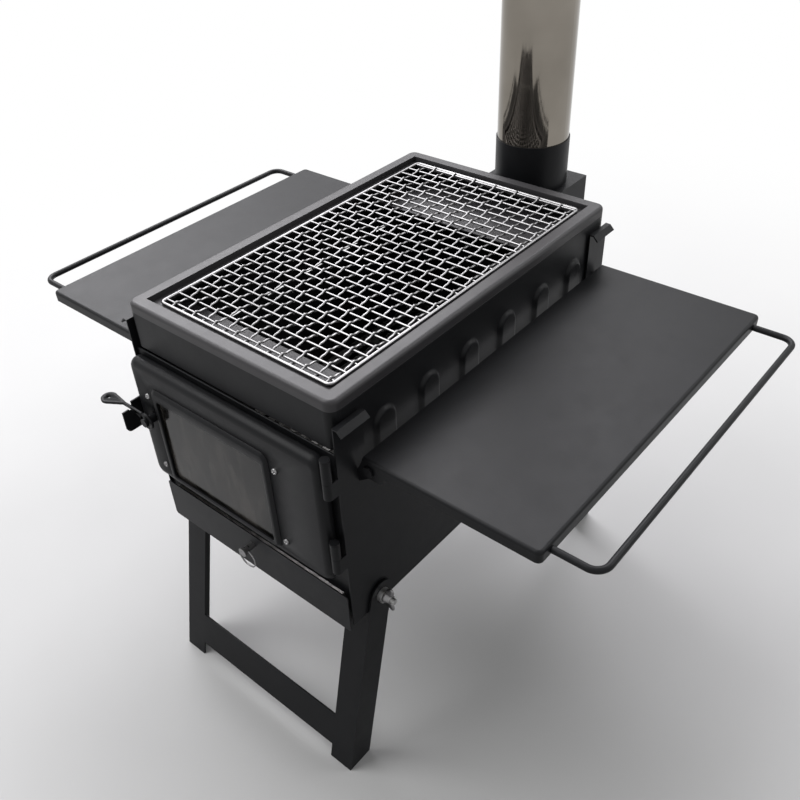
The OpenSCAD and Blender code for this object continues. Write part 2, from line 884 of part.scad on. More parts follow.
module window_screws() {
    color(steel) placed() window_screw_places() {
        rod_y(shank_r, -door_face, clamp_y + 2 * sheet);
        rod_y(screw_r, -door_face - screw_h, -door_face);
    }
}

// Door knuckles, each with the tongue that joins it to the door's edge wall
module door_knuckles() {
    tongue_y = -door_face + door_bend;
    color(coat) placed() difference() {
        union() {
            translate([hinge_x, hinge_y, -upper_hinge - upper_knuckle])
                cylinder(r = barrel_r, h = upper_knuckle);
            translate([hinge_x, hinge_y, -lower_hinge - knuckle])
                cylinder(r = barrel_r, h = knuckle);
            slab([door_x1, tongue_y, -upper_hinge - upper_knuckle],
                [hinge_x, tongue_y + tongue_t, -door_drop - door_corner]);
            slab([door_x1, tongue_y, -lower_hinge - knuckle],
                [hinge_x, tongue_y + tongue_t, -lower_hinge]);
        }
        translate([hinge_x, hinge_y, lower_body])
            cylinder(r = pin_r + run, h = -lower_body);
    }
}

// Firebox knuckles, rolled from straps that carry on from the right wall
module body_knuckles() {
    color(coat) placed() for (z = [upper_body, lower_body]) difference() {
        union() {
            translate([hinge_x, hinge_y, z - knuckle]) cylinder(r = barrel_r, h = knuckle);
            slab([inner_w, hinge_y, z - knuckle], [half_w, -guide_y, z]);
        }
        translate([hinge_x, hinge_y, z - knuckle - over])
            cylinder(r = pin_r, h = knuckle + 2 * over);
    }
}

// Hinge pins with their caps on top
module hinge_pins() {
    color(zinc) placed() {
        translate([hinge_x, hinge_y, upper_body - knuckle])
            cylinder(r = pin_r, h = -upper_hinge + gap - upper_body + knuckle);
        translate([hinge_x, hinge_y, lower_body - knuckle])
            cylinder(r = pin_r, h = -lower_hinge + gap - lower_body + knuckle);
        translate([hinge_x, hinge_y, -upper_hinge + gap]) cylinder(r = barrel_r, h = pin_head);
        translate([hinge_x, hinge_y, -lower_hinge + gap]) cylinder(r = barrel_r, h = pin_head);
    }
}

// Rope gasket on the front plate round the fire opening
module door_gasket() {
    open_x = half_w - opening_side;
    color([0.45, 0.44, 0.42]) placed()
        translate([0, 0, -opening_drop - opening_h / 2])
            upright(-half_l - wall_proud, wall_proud) difference() {
                square([2 * open_x + 2 * gasket_w, opening_h + 2 * gasket_w], center = true);
                square([2 * open_x, opening_h], center = true);
            }
}

// Latch

// Spacer and bolt on the door that the lever turns on
module latch_bolt() {
    color(zinc) placed() translate([latch_x, 0, -latch_drop]) {
        rod_y(boss_r, -door_face - latch_stand, -door_face);
        rod_y(bolt_thin, lever_y - lever_t - gap, -door_face - latch_stand);
        rod_y(boss_r, lever_y - lever_t - gap - bolt_thin, lever_y - lever_t - gap);
    }
}

// Lever with a flat neck over the catch and a level paddle at its end
module latch_lever() {
    mid = lever_t / 2;
    wide = paddle_w / 2;
    end_x = -lever_l + wide;
    color(coat) placed() translate([latch_x, lever_y - mid, -latch_drop]) {
        difference() {
            union() {
                rod_y(lever_r, -mid, mid);
                upright(-mid, lever_t) polygon([[lever_r / 2, lever_r * 0.8],
                    [-neck_end * 0.6, neck_up + neck_h], [-neck_end, neck_up + neck_h],
                    [-neck_end, neck_up], [-neck_end * 0.6, neck_up],
                    [-lever_r * 0.8, -lever_r * 0.5]]);
            }
            rod_y(bolt_thin + run, -lever_t, lever_t);
        }
        hull() {
            slab([-neck_end - over, -mid, neck_up], [-neck_end, mid, neck_up + neck_h]);
            slab([-paddle_start - over, -wide, paddle_z - mid],
                [-paddle_start, wide, paddle_z + mid]);
        }
        translate([0, 0, paddle_z - mid]) linear_extrude(lever_t) difference() {
            union() {
                translate([end_x, -wide]) square([-paddle_start - over - end_x, paddle_w]);
                translate([end_x, 0]) circle(wide);
            }
            translate([end_x, 0]) circle(paddle_hole);
        }
    }
}

// Catch plate on the left wall: a nose, a notch behind it and a tall back
module catch_plate() {
    back = half_l + wall_proud - catch_lap;
    notch0 = -lever_y - catch_play;
    notch1 = -lever_y + lever_t + catch_play;
    nose = notch1 + catch_nose;
    floor_of_notch = nose_z - catch_notch;
    low = catch_back_z - catch_h;
    color(coat) placed() sideways(-half_w - catch_t, catch_t) {
        polygon([[-back, low], [-back, catch_back_z], [-notch0, catch_back_z],
            [-notch0, floor_of_notch], [-notch1, floor_of_notch], [-notch1, nose_z],
            [-nose, nose_z], [-nose, low + catch_round], [-nose + catch_round, low + catch_round],
            [-nose + catch_round, low]]);
        translate([-nose + catch_round, low + catch_round]) circle(catch_round);
    }
}

// Ash drawer

module drawer_front() {
    color(coat) placed() translate([0, 0, drawer_top - drawer_h / 2])
        upright(-drawer_y, sheet) round_rect(box_w - 2 * drawer_in, drawer_h, drawer_corner);
}

// Tray that slides on the firebox floor
module ash_tray() {
    wide = inner_w - tray_side + sheet;
    y0 = -drawer_y + sheet;
    y1 = inner_l - tray_short;
    color(zinc) placed() difference() {
        slab([-wide, y0, tray_floor], [wide, y1, tray_floor + tray_h]);
        slab([-wide + sheet, y0 + sheet, tray_floor + sheet],
            [wide - sheet, y1 - sheet, tray_floor + tray_h + over]);
    }
}

// Stud with a cross hole for the pull ring
module drawer_stud() {
    color(steel) placed() difference() {
        translate([0, 0, stud_z]) union() {
            rod_y(stud_r, -drawer_y - stud_l, -drawer_y);
            rod_y(stud_head, -drawer_y - stud_l, -drawer_y - stud_l + stud_head_h);
        }
        translate([0, ring_y, stud_z]) rod_x(hole_r, -stud_head - over, stud_head + over);
    }
}

module drawer_ring() {
    color(steel) placed() translate([0, ring_y, stud_z - ring_r]) rotate([90, 0, 0])
        rotate_extrude($fn = 64) translate([ring_r, 0]) circle(ring_wire, $fn = 24);
}

// Shelves

// Right shelf: a pan open toward the firebox with an ear at each inner end
module shelf_shape() {
    long = shelf_w + shelf_corner + shelf_bend;
    ear_top = -shelf_drop - shelf_bend;
    ear_low = -shelf_drop - ear_h;
    difference() {
        union() {
            difference() {
                translate([shelf_x1 - long / 2, 0, -shelf_drop])
                    pan(long, shelf_l, shelf_edge, shelf_t, shelf_bend, shelf_corner);
                slab([shelf_x1 - long - over, -shelf_l / 2 - over, -shelf_drop - shelf_edge - over],
                    [shelf_x0, shelf_l / 2 + over, -shelf_drop + over]);
            }
            for (y = [-ear_y, ear_y - shelf_t]) upright(y, shelf_t)
                polygon([[shelf_x0, ear_top], [shelf_x0 + ear_l, ear_top],
                    [shelf_x0 + ear_l, ear_low + ear_cut], [shelf_x0 + ear_l - ear_cut, ear_low],
                    [half_w + gap + ear_cut, ear_low], [half_w + gap, ear_low + ear_cut]]);
        }
        translate([pivot_x, 0, pivot_z])
            rod_y(pivot_r + run, -shelf_l / 2 - over, shelf_l / 2 + over);
        for (s = [-1, 1]) translate([0, s * rail_y, rail_z])
            rod_x(rail_r, shelf_x1 - shelf_t - over, shelf_x1 + over);
    }
}

module shelf_right() {
    color(coat) placed() translate([0, shelf_back, 0]) shelf_shape();
}

module shelf_left() {
    color(coat) placed() translate([0, shelf_back, 0]) mirror([1, 0, 0]) shelf_shape();
}

// Lugs on the corner guides that the shelves' ears hang on
module shelf_lugs() {
    inside = ear_y - shelf_t - gap - lug_t;
    color(coat) placed() translate([0, shelf_back, 0]) both_sides()
        for (y = [-inside - lug_t, inside]) difference() {
            upright(y, lug_t) translate([pivot_x, pivot_z]) union() {
                circle(lug_r);
                polygon([[0, 0], [-lug_r * 0.8, -lug_r * 0.57], [-pivot_out, -lug_top],
                    [-pivot_out, -lug_foot], [lug_r * 0.5, -lug_r * 0.86]]);
            }
            translate([pivot_x, 0, pivot_z]) rod_y(pivot_r, y - over, y + lug_t + over);
        }
}

// Screws that the shelves turn on
module shelf_screws() {
    inside = ear_y - shelf_t - gap - lug_t;
    color(steel) placed() translate([0, shelf_back, 0]) both_sides() both_ends()
        translate([pivot_x, 0, pivot_z]) {
            rod_y(pivot_r, inside, ear_y + gap);
            rod_y(pivot_head, ear_y + gap, ear_y + gap + pivot_head_h);
        }
}

// Right rail: a rod bent into a long bail
module rail_shape() {
    start = shelf_x1 - shelf_t - rail_tail;
    far = shelf_x1 + rail_out - rail_r;
    translate([0, 0, rail_z]) {
        for (s = [-1, 1]) {
            translate([0, s * rail_y, 0]) rod_x(rail_r, start, far - rail_bend);
            translate([far - rail_bend, s * (rail_y - rail_bend), 0])
                rotate([0, 0, s > 0 ? 0 : -90]) rotate_extrude(angle = 90)
                    translate([rail_bend, 0]) circle(rail_r, $fn = 32);
        }
        translate([far, 0, 0]) rod_y(rail_r, -rail_y + rail_bend, rail_y - rail_bend);
    }
}

module rail_right() {
    color(coat) placed() translate([0, shelf_back, 0]) rail_shape();
}

module rail_left() {
    color(coat) placed() translate([0, shelf_back, 0]) mirror([1, 0, 0]) rail_shape();
}

// Nuts on the rail's ends inside the shelf's edge
module rail_nut_pair() {
    x1 = shelf_x1 - shelf_t;
    for (s = [-1, 1]) translate([x1 - rail_nut_h, s * rail_y, rail_z]) rotate([0, 90, 0])
        difference() {
            rotate([0, 0, 30]) cylinder(r = rail_nut_r, h = rail_nut_h, $fn = 6);
            translate([0, 0, -over]) cylinder(r = rail_r, h = rail_nut_h + 2 * over);
        }
}

module rail_nuts_right() {
    color(zinc) placed() translate([0, shelf_back, 0]) rail_nut_pair();
}

module rail_nuts_left() {
    color(zinc) placed() translate([0, shelf_back, 0]) mirror([1, 0, 0]) rail_nut_pair();
}

// Leg frames

// Turns a leg's own axes to its open lean, about its pivot at the front
module leaned() {
    translate([0, -leg_y, leg_z]) rotate([-leg_lean, 0, 0]) children();
}

// Cuts everything below the ground off a leg
module cut_at_ground() {
    difference() {
        children();
        translate([-box_w, -box_l, ground - leg_long]) cube([2 * box_w, 2 * box_l, leg_long]);
    }
}

// Where a leg's broad face starts below its pivot, so that it stops on the floor
function face_start(half) = (leg_in + half * sin(leg_lean)) / cos(leg_lean);

// Right front leg: a side plate with a round head and a broad face turned inward
module leg_shape(x0, face_in) {
    half = face_in + leg_t;
    cut_at_ground() leaned() difference() {
        union() {
            sideways(x0, leg_t) {
                circle(leg_half);
                translate([-half, -leg_long]) square([half + leg_half, leg_long - face_start(half)]);
                translate([-leg_half, -face_start(half) - over])
                    square([2 * leg_half, face_start(half) + over]);
            }
            slab([x0 + leg_t - leg_face, -half, -leg_long], [x0 + leg_t, -face_in, -face_start(half)]);
        }
        rod_x(bolt_r + run, x0 - over, x0 + leg_t + over);
    }
}

// Bar between the broad faces of two legs
module crossbar_shape(x0, face_in) {
    side = x0 + leg_t - leg_face;
    top = (rim_h - box_drop + leg_up - bar_up) / cos(leg_lean) - bar_h;
    leaned() slab([-side, -face_in - leg_t, -top - bar_h], [side, -face_in, -top]);
}

rear_face_in = leg_in + leg_t + gap;

module front_leg_right() {
    color(coat) placed() leg_shape(leg_front_x, leg_in);
}

module front_leg_left() {
    color(coat) placed() mirror([1, 0, 0]) leg_shape(leg_front_x, leg_in);
}

module front_crossbar() {
    color(coat) placed() crossbar_shape(leg_front_x, leg_in);
}

module rear_leg_right() {
    color(coat) placed() mirror([0, 1, 0]) leg_shape(leg_rear_x, rear_face_in);
}

module rear_leg_left() {
    color(coat) placed() mirror([0, 1, 0]) mirror([1, 0, 0]) leg_shape(leg_rear_x, rear_face_in);
}

module rear_crossbar() {
    color(coat) placed() mirror([0, 1, 0]) crossbar_shape(leg_rear_x, rear_face_in);
}

// Bolts through the side walls that the legs turn on
module leg_bolts() {
    color(zinc) placed() both_sides() both_ends() translate([0, leg_y, leg_z]) {
        rod_x(bolt_r, inner_w, nut_x + hub_h + bolt_tail);
        rod_x(bolt_head, inner_w - bolt_head_h, inner_w);
    }
}

// Washer on a leg bolt between two places along X
module leg_washer(x0, x1) {
    difference() {
        rod_x(washer_r, x0, x1);
        rod_x(bolt_r, x0 - over, x1 + over);
    }
}

// Spacers on both sides of each leg
module leg_washers() {
    color(zinc) placed() both_sides() {
        translate([0, -leg_y, leg_z]) {
            leg_washer(half_w, leg_front_x - gap);
            leg_washer(leg_front_x + leg_t + gap, nut_x - gap);
        }
        translate([0, leg_y, leg_z]) {
            leg_washer(half_w, leg_rear_x - gap);
            leg_washer(leg_rear_x + leg_t + gap, nut_x - gap);
        }
    }
}

// Wing nut on the right front bolt
module wing_nut() {
    translate([0, -leg_y, leg_z]) difference() {
        union() {
            rod_x(hub_r, nut_x, nut_x + hub_h);
            for (s = [-1, 1]) hull() {
                translate([nut_x + hub_h / 2, s * hub_r * 0.5, 0]) rotate([90, 0, 0])
                    cylinder(r = hub_h / 2 - gap, h = wing_t, center = true, $fn = 24);
                translate([nut_x + hub_h - gap, s * (wing_reach - hub_h / 2), 0])
                    rotate([0, 0, s * 60]) rotate([90, 0, 0])
                        cylinder(r = hub_h / 2 - gap, h = wing_t, center = true, $fn = 24);
            }
        }
        rod_x(bolt_r + run, nut_x - over, nut_x + 2 * hub_h);
    }
}

module wing_nut_front_right() {
    color(steel) placed() wing_nut();
}

module wing_nut_front_left() {
    color(steel) placed() mirror([1, 0, 0]) wing_nut();
}

module wing_nut_rear_right() {
    color(steel) placed() mirror([0, 1, 0]) wing_nut();
}

module wing_nut_rear_left() {
    color(steel) placed() mirror([0, 1, 0]) mirror([1, 0, 0]) wing_nut();
}

left_side_wall();
right_side_wall();
corner_guides();
front_plate();
rear_plate();
bottom_plate();
frame_ledges();
grate_ledges();
flue_box();
flue_collar();
catch_plate();
body_knuckles();
hinge_pins();
door_gasket();
shelf_lugs();
shelf_screws();
leg_bolts();
leg_washers();
top_rim();
skirt_front();
skirt_rear();
skirt_left();
skirt_right();
baffle_plate();
front_baffle();
grill_net();
fire_grate();
door_panel();
window_frame();
window_glass();
glass_seal();
glass_clamp();
window_screws();
door_knuckles();
latch_bolt();
latch_lever();
drawer_front();
ash_tray();
drawer_stud();
drawer_ring();
shelf_left();
shelf_right();
rail_left();
rail_right();
rail_nuts_left();
rail_nuts_right();
front_leg_left();
front_leg_right();
front_crossbar();
rear_leg_left();
rear_leg_right();
rear_crossbar();
wing_nut_front_left();
wing_nut_front_right();
wing_nut_rear_left();
wing_nut_rear_right();
flue_pipe();
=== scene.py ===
"""Camping wood stove: the looks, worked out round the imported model.

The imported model's frame is in metres: X to the right, Y to the rear, Z up, with
the ground at zero. Pieces are given in millimetres about the middle of the
cooking rim, and rim() turns such a point into the model's frame.
"""
import json

import bmesh
import bpy
import numpy as np
from mathutils import Matrix, Vector


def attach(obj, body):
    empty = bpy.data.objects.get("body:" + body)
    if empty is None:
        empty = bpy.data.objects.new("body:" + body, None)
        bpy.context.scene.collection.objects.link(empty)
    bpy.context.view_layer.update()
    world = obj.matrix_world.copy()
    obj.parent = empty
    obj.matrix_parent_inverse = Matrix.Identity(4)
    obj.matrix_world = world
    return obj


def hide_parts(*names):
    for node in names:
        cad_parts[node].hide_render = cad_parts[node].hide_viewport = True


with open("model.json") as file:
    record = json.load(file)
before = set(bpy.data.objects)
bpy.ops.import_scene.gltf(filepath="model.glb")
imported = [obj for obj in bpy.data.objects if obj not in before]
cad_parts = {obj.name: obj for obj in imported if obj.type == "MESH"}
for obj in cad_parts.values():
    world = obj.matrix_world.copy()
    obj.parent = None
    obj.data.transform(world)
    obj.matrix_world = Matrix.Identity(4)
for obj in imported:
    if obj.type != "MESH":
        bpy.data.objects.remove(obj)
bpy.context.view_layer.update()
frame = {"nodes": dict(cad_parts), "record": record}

# The middle of the cooking rim's top plane, in millimetres from the stove's own origin
RIM_BACK = -32.98
RIM_HIGH = 468.0
# A full turn, and the distance in metres within which points are one point
TURN = 2 * np.pi
SAME_POINT = 2e-6


def rim(points):
    """Millimetres about the rim's middle, as metres in the model's frame.

    Each point plus the rim's place, divided by a thousand.
    """
    return (np.asarray(points, float) + (0, RIM_BACK, RIM_HIGH)) / 1000


# Surfaces

def grid_faces(rows, columns, ring_rows, ring_columns, start=0):
    """Corner numbers of the quads of a grid of rows by columns points.

    Corner k joins k, its right neighbour, the one above that and the one above k,
    each counted round where the grid is a ring.
    """
    r = np.arange(rows if ring_rows else rows - 1)[:, None]
    c = np.arange(columns if ring_columns else columns - 1)[None, :]
    r1, c1 = (r + 1) % rows, (c + 1) % columns
    quads = np.stack([r * columns + c, r * columns + c1, r1 * columns + c1, r1 * columns + c], -1)
    return quads.reshape(-1, 4) + start


def surface(name, points, faces, finish, body, stands_for, smooth=True):
    """Puts points (millimetres about the rim) and quads into a mesh that rides a body.

    The points that meet are joined and every face is turned outward. The piece
    replaces the node that it stands for.
    """
    mesh = bpy.data.meshes.new(name)
    points = np.ascontiguousarray(rim(points).reshape(-1, 3), np.float32)
    faces = np.ascontiguousarray(faces, np.int32)
    mesh.vertices.add(len(points))
    mesh.vertices.foreach_set("co", points.ravel())
    mesh.loops.add(faces.size)
    mesh.loops.foreach_set("vertex_index", faces.ravel())
    mesh.polygons.add(len(faces))
    mesh.polygons.foreach_set("loop_start", np.arange(0, faces.size, 4, dtype=np.int32))
    mesh.update(calc_edges=True)
    mesh.validate()
    work = bmesh.new()
    work.from_mesh(mesh)
    bmesh.ops.remove_doubles(work, verts=work.verts, dist=SAME_POINT)
    bmesh.ops.recalc_face_normals(work, faces=work.faces)
    work.to_mesh(mesh)
    work.free()
    mesh.polygons.foreach_set("use_smooth", np.full(len(mesh.polygons), smooth))
    piece = bpy.data.objects.new(name, mesh)
    bpy.context.scene.collection.objects.link(piece)
    mesh.materials.append(finish)
    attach(piece, body)
    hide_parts(stands_for)


def grids(name, finish, body, stands_for, strips=(), loops=(), smooth=True):
    """Joins grids of rows by columns by three into one piece.

    Each row is a ring. A strip ends at its first and last row, and a loop's last
    row joins its first.
    """
    points, faces, start = [], [], 0
    for sheet, closed in [(strip, False) for strip in strips] + [(loop, True) for loop in loops]:
        rows, columns, _ = sheet.shape
        faces.append(grid_faces(rows, columns, closed, True, start))
        points.append(sheet.reshape(-1, 3))
        start += rows * columns
    surface(name, np.concatenate(points), np.concatenate(faces), finish, body, stands_for, smooth)


def circle(radius, sides):
    """A circle: radius times the cosine and sine of equal steps round it."""
    u = np.arange(sides) / sides * TURN
    return radius * np.stack([np.cos(u), np.sin(u)], -1)


def turned(profile, sides, axis, start, cross):
    """A profile of radius and height, turned about an axis.

    Point (u, v) is start, plus height v along the axis, plus radius v times the
    direction that stands at the angle u from cross.
    """
    axis, cross = np.asarray(axis, float), np.asarray(cross, float)
    ring = circle(1, sides) @ np.stack([cross, np.cross(axis, cross)])
    radius, height = np.asarray(profile, float).T
    return np.asarray(start, float) + radius[:, None, None] * ring[None] + height[:, None, None] * axis


def carried(path, section, up):
    """A section carried once round a closed path.

    At each step the point is the path's point, plus the section's first value
    across the path, plus its second value along up made square to the path.
    """
    path = np.asarray(path, float)
    way = np.roll(path, -1, 0) - np.roll(path, 1, 0)
    way /= np.linalg.norm(way, axis=1)[:, None]
    across = np.cross(way, np.asarray(up, float))
    across /= np.linalg.norm(across, axis=1)[:, None]
    high = np.cross(across, way)
    section = np.asarray(section, float)
    if section.ndim == 2:
        section = np.broadcast_to(section, (len(path),) + section.shape)
    return path[:, None] + section[..., :1] * across[:, None] + section[..., 1:] * high[:, None]


def rounded_path(wide, high, corner, steps):
    """A rectangle with round corners, walked once round, and how far each point is along it.

    Four quarter circles about the corners' centres, joined by straights and then
    shared out in even steps.
    """
    even_step = 1.2
    a = np.linspace(0, np.pi / 2, steps)
    points = []
    for k, (sx, sy) in enumerate([(1, 1), (-1, 1), (-1, -1), (1, -1)]):
        centre = np.array([sx * (wide / 2 - corner), sy * (high / 2 - corner)])
        turn = a + k * np.pi / 2
        points.append(centre + corner * np.stack([np.cos(turn), np.sin(turn)], -1))
    points = np.concatenate(points)
    gaps = np.linalg.norm(np.roll(points, -1, 0) - points, axis=1)
    far = np.concatenate([[0], np.cumsum(gaps)])
    even = np.linspace(0, far[-1], int(far[-1] / even_step), endpoint=False)
    loop = np.concatenate([points, points[:1]])
    return np.stack([np.interp(even, far, loop[:, 0]), np.interp(even, far, loop[:, 1])], -1), even


# Finishes

def shader(name):
    """A new material with its object coordinates and its shader ready."""
    material = bpy.data.materials.new(name)
    material.use_nodes = True
    tree = material.node_tree
    coords = tree.nodes.new("ShaderNodeTexCoord")
    return material, tree, coords.outputs["Object"], tree.nodes["Principled BSDF"]


def grain(tree, place, scale, detail=3.0, stretch=None, rough=0.5):
    """Noise at a scale in cycles per metre, drawn out along one way where stretch is given."""
    if stretch:
        mapping = tree.nodes.new("ShaderNodeMapping")
        mapping.inputs["Scale"].default_value = stretch
        tree.links.new(place, mapping.inputs["Vector"])
        place = mapping.outputs["Vector"]
    noise = tree.nodes.new("ShaderNodeTexNoise")
    noise.inputs["Scale"].default_value = scale
    noise.inputs["Detail"].default_value = detail
    noise.inputs["Roughness"].default_value = rough
    tree.links.new(place, noise.inputs["Vector"])
    return noise.outputs["Fac"]


def ramp(tree, value, stops):
    """Turns a value into colours at stops of (place, colour)."""
    node = tree.nodes.new("ShaderNodeValToRGB")
    bar = node.color_ramp
    for element, (place, colour) in zip(bar.elements, (stops[0], stops[-1])):
        element.position = place
        element.color = (*colour, 1)
    for place, colour in stops[1:-1]:
        bar.elements.new(place).color = (*colour, 1)
    tree.links.new(value, node.inputs["Fac"])
    return node.outputs["Color"]


def spread(tree, value, low, high, new_low, new_high):
    """Maps a value from one range to another."""
    node = tree.nodes.new("ShaderNodeMapRange")
    ends = (low, high, new_low, new_high)
    for key, number in zip(("From Min", "From Max", "To Min", "To Max"), ends):
        node.inputs[key].default_value = number
    tree.links.new(value, node.inputs["Value"])
    return node.outputs["Result"]


def dents(tree, shade, layers):
    """Bumps from several values, one after the other, each with its depth in metres and its strength."""
    last = None
    for value, depth, strength in layers:
        node = tree.nodes.new("ShaderNodeBump")
        node.inputs["Distance"].default_value = depth
        node.inputs["Strength"].default_value = strength
        tree.links.new(value, node.inputs["Height"])
        if last:
            tree.links.new(last, node.inputs["Normal"])
        last = node.outputs["Normal"]
    tree.links.new(last, shade.inputs["Normal"])


def powder_coat(name, dark, light, roughness, shine):
    """Sprayed and baked black coat.

    Slow drifts of shade, a fine orange-peel skin, and dustier patches that shine less.
    """
    material, tree, place, shade = shader(name)
    shade.inputs["Specular IOR Level"].default_value = shine
    drift = grain(tree, place, 9, 4, rough=0.6)
    dust = grain(tree, place, 60, 6, rough=0.7)
    peel = grain(tree, place, 900, 2)
    grit = grain(tree, place, 2600, 2)
    tree.links.new(ramp(tree, drift, [(0.3, dark), (0.7, light)]), shade.inputs["Base Color"])
    tree.links.new(spread(tree, dust, 0.3, 0.7, *roughness), shade.inputs["Roughness"])
    dents(tree, shade, [(peel, 0.00012, 0.35), (grit, 0.00004, 0.3)])
    return material


def bare_metal(name, dark, light, roughness, stretch, scale, depth):
    """Bare metal.

    Fine lines or mottling, drawn out along the way it was rolled where stretch is
    given, and a slow drift of shade.
    """
    material, tree, place, shade = shader(name)
    shade.inputs["Metallic"].default_value = 1
    lines = grain(tree, place, scale, 4, stretch)
    drift = grain(tree, place, 14, 3)
    tree.links.new(ramp(tree, drift, [(0.3, dark), (0.7, light)]), shade.inputs["Base Color"])
    tree.links.new(spread(tree, lines, 0.3, 0.7, *roughness), shade.inputs["Roughness"])
    dents(tree, shade, [(lines, depth, 0.3)])
    return material


def zinc_plate(name):
    """Zinc plate: soft crystals of slightly different greys, the lightest a little yellow."""
    material, tree, place, shade = shader(name)
    shade.inputs["Metallic"].default_value = 1
    cells = tree.nodes.new("ShaderNodeTexVoronoi")
    cells.inputs["Scale"].default_value = 260
    tree.links.new(place, cells.inputs["Vector"])
    split = tree.nodes.new("ShaderNodeSeparateColor")
    tree.links.new(cells.outputs["Color"], split.inputs["Color"])
    greys = [(0.0, (0.42, 0.42, 0.41)), (0.6, (0.52, 0.52, 0.52)), (1.0, (0.6, 0.59, 0.56))]
    tree.links.new(ramp(tree, split.outputs[0], greys), shade.inputs["Base Color"])
    tree.links.new(spread(tree, grain(tree, place, 120, 5), 0.3, 0.7, 0.28, 0.5), shade.inputs["Roughness"])
    dents(tree, shade, [(grain(tree, place, 700, 3), 0.00003, 0.3)])
    return material


def smoked_glass(name):
    """Heat-proof glass browned by smoke, partly see-through, with a thin uneven film of soot."""
    material, tree, place, shade = shader(name)
    film = grain(tree, place, 22, 4, (1, 1, 0.5), 0.6)
    streak = grain(tree, place, 90, 4, (1, 1, 0.15), 0.6)
    soot = tree.nodes.new("ShaderNodeMath")
    soot.operation = "MULTIPLY_ADD"
    soot.inputs[1].default_value = 0.4
    tree.links.new(streak, soot.inputs[0])
    tree.links.new(film, soot.inputs[2])
    browns = [(0.55, (0.004, 0.0037, 0.0034)), (0.66, (0.012, 0.011, 0.0095)), (0.82, (0.05, 0.045, 0.04))]
    tree.links.new(ramp(tree, soot.outputs[0], browns), shade.inputs["Base Color"])
    tree.links.new(spread(tree, soot.outputs[0], 0.4, 1.0, 0.06, 0.3), shade.inputs["Roughness"])
    shade.inputs["Transmission Weight"].default_value = 0.3
    shade.inputs["IOR"].default_value = 1.5
    shade.inputs["Specular IOR Level"].default_value = 0.14
    return material


def glass_rope(name):
    """Knitted glass-fibre rope: pale grey threads, darker where soot lies."""
    material, tree, place, shade = shader(name)
    threads = grain(tree, place, 900, 3)
    soot = grain(tree, place, 70, 4)
    greys = [(0.3, (0.3, 0.29, 0.28)), (0.7, (0.55, 0.53, 0.5))]
    tree.links.new(ramp(tree, soot, greys), shade.inputs["Base Color"])
    tree.links.new(spread(tree, threads, 0.2, 0.8, 0.85, 1.0), shade.inputs["Roughness"])
    shade.inputs["Sheen Weight"].default_value = 0.2
    dents(tree, shade, [(threads, 0.0003, 0.7)])
    return material


BLACK = powder_coat("satin_black_coat", dark=(0.006, 0.0062, 0.007), light=(0.0095, 0.0098, 0.011),
                    roughness=(0.37, 0.43), shine=0.12)
RIM = powder_coat("rim_coat", dark=(0.026, 0.025, 0.027), light=(0.038, 0.0365, 0.039),
                  roughness=(0.39, 0.46), shine=0.25)
SHEET = bare_metal("plain_sheet_steel", dark=(0.2, 0.195, 0.19), light=(0.34, 0.33, 0.325),
                   roughness=(0.4, 0.62), stretch=(1, 0.06, 1), scale=700, depth=0.00003)
WIRE = bare_metal("bright_wire", dark=(0.17, 0.168, 0.17), light=(0.26, 0.257, 0.26),
                  roughness=(0.24, 0.4), stretch=None, scale=500, depth=0.00002)
MIRROR = bare_metal("polished_pipe", dark=(0.18, 0.163, 0.14), light=(0.225, 0.205, 0.178),
                    roughness=(0.05, 0.12), stretch=(1, 1, 0.04), scale=900, depth=0.000006)
ZINC = zinc_plate("zinc_plated_steel")
GLASS = smoked_glass("smoked_window_glass")
ROPE = glass_rope("glass_fibre_rope")

SLOT_FINISH = {"black_coat": BLACK, "rim_coat": RIM, "plain_steel": SHEET, "bright_stainless": WIRE,
               "mirror_stainless": MIRROR, "zinc_plate": ZINC, "gasket_rope": ROPE, "window_glass": GLASS}
# Plated parts that were sprayed with the body
COATED_OVER = ("latch_bolt", "shelf_screws", "hinge_pins")
for part in frame["record"]["subparts"]:
    finishes = frame["nodes"][part["node"]].data.materials
    finishes.clear()
    finishes.append(BLACK if part["node"] in COATED_OVER else SLOT_FINISH[part["material_slot"]])


# The crimped cooking net

# Half its width and length, its level, and how far its middle lies from the rim's
NET_X, NET_Y, NET_Z = 106.3, 187.0, -4.2
NET_MIDDLE = np.array([0.9, 1.3, 0.0])
# Radii of the border rod and of the wires
BORDER = 1.6
THIN = 1.0
# Places of the wires that run to the rear, and of those that run across
ALONG_X = np.linspace(-90.5, 99.5, 15)
CROSS_Y = np.concatenate([[-179.0], np.linspace(-165.2, 182.0, 27)])
# How high the crowns rise on the one kind and on the other, and their half length
LONG_CROWN, CROSS_CROWN, CROWN_HALF = 2.0, 0.05, 2.6
# Over how far the crowns die out towards a wire's end, and how far past it that would end
DIE_OUT, LAST_RISE = 3, 0.5


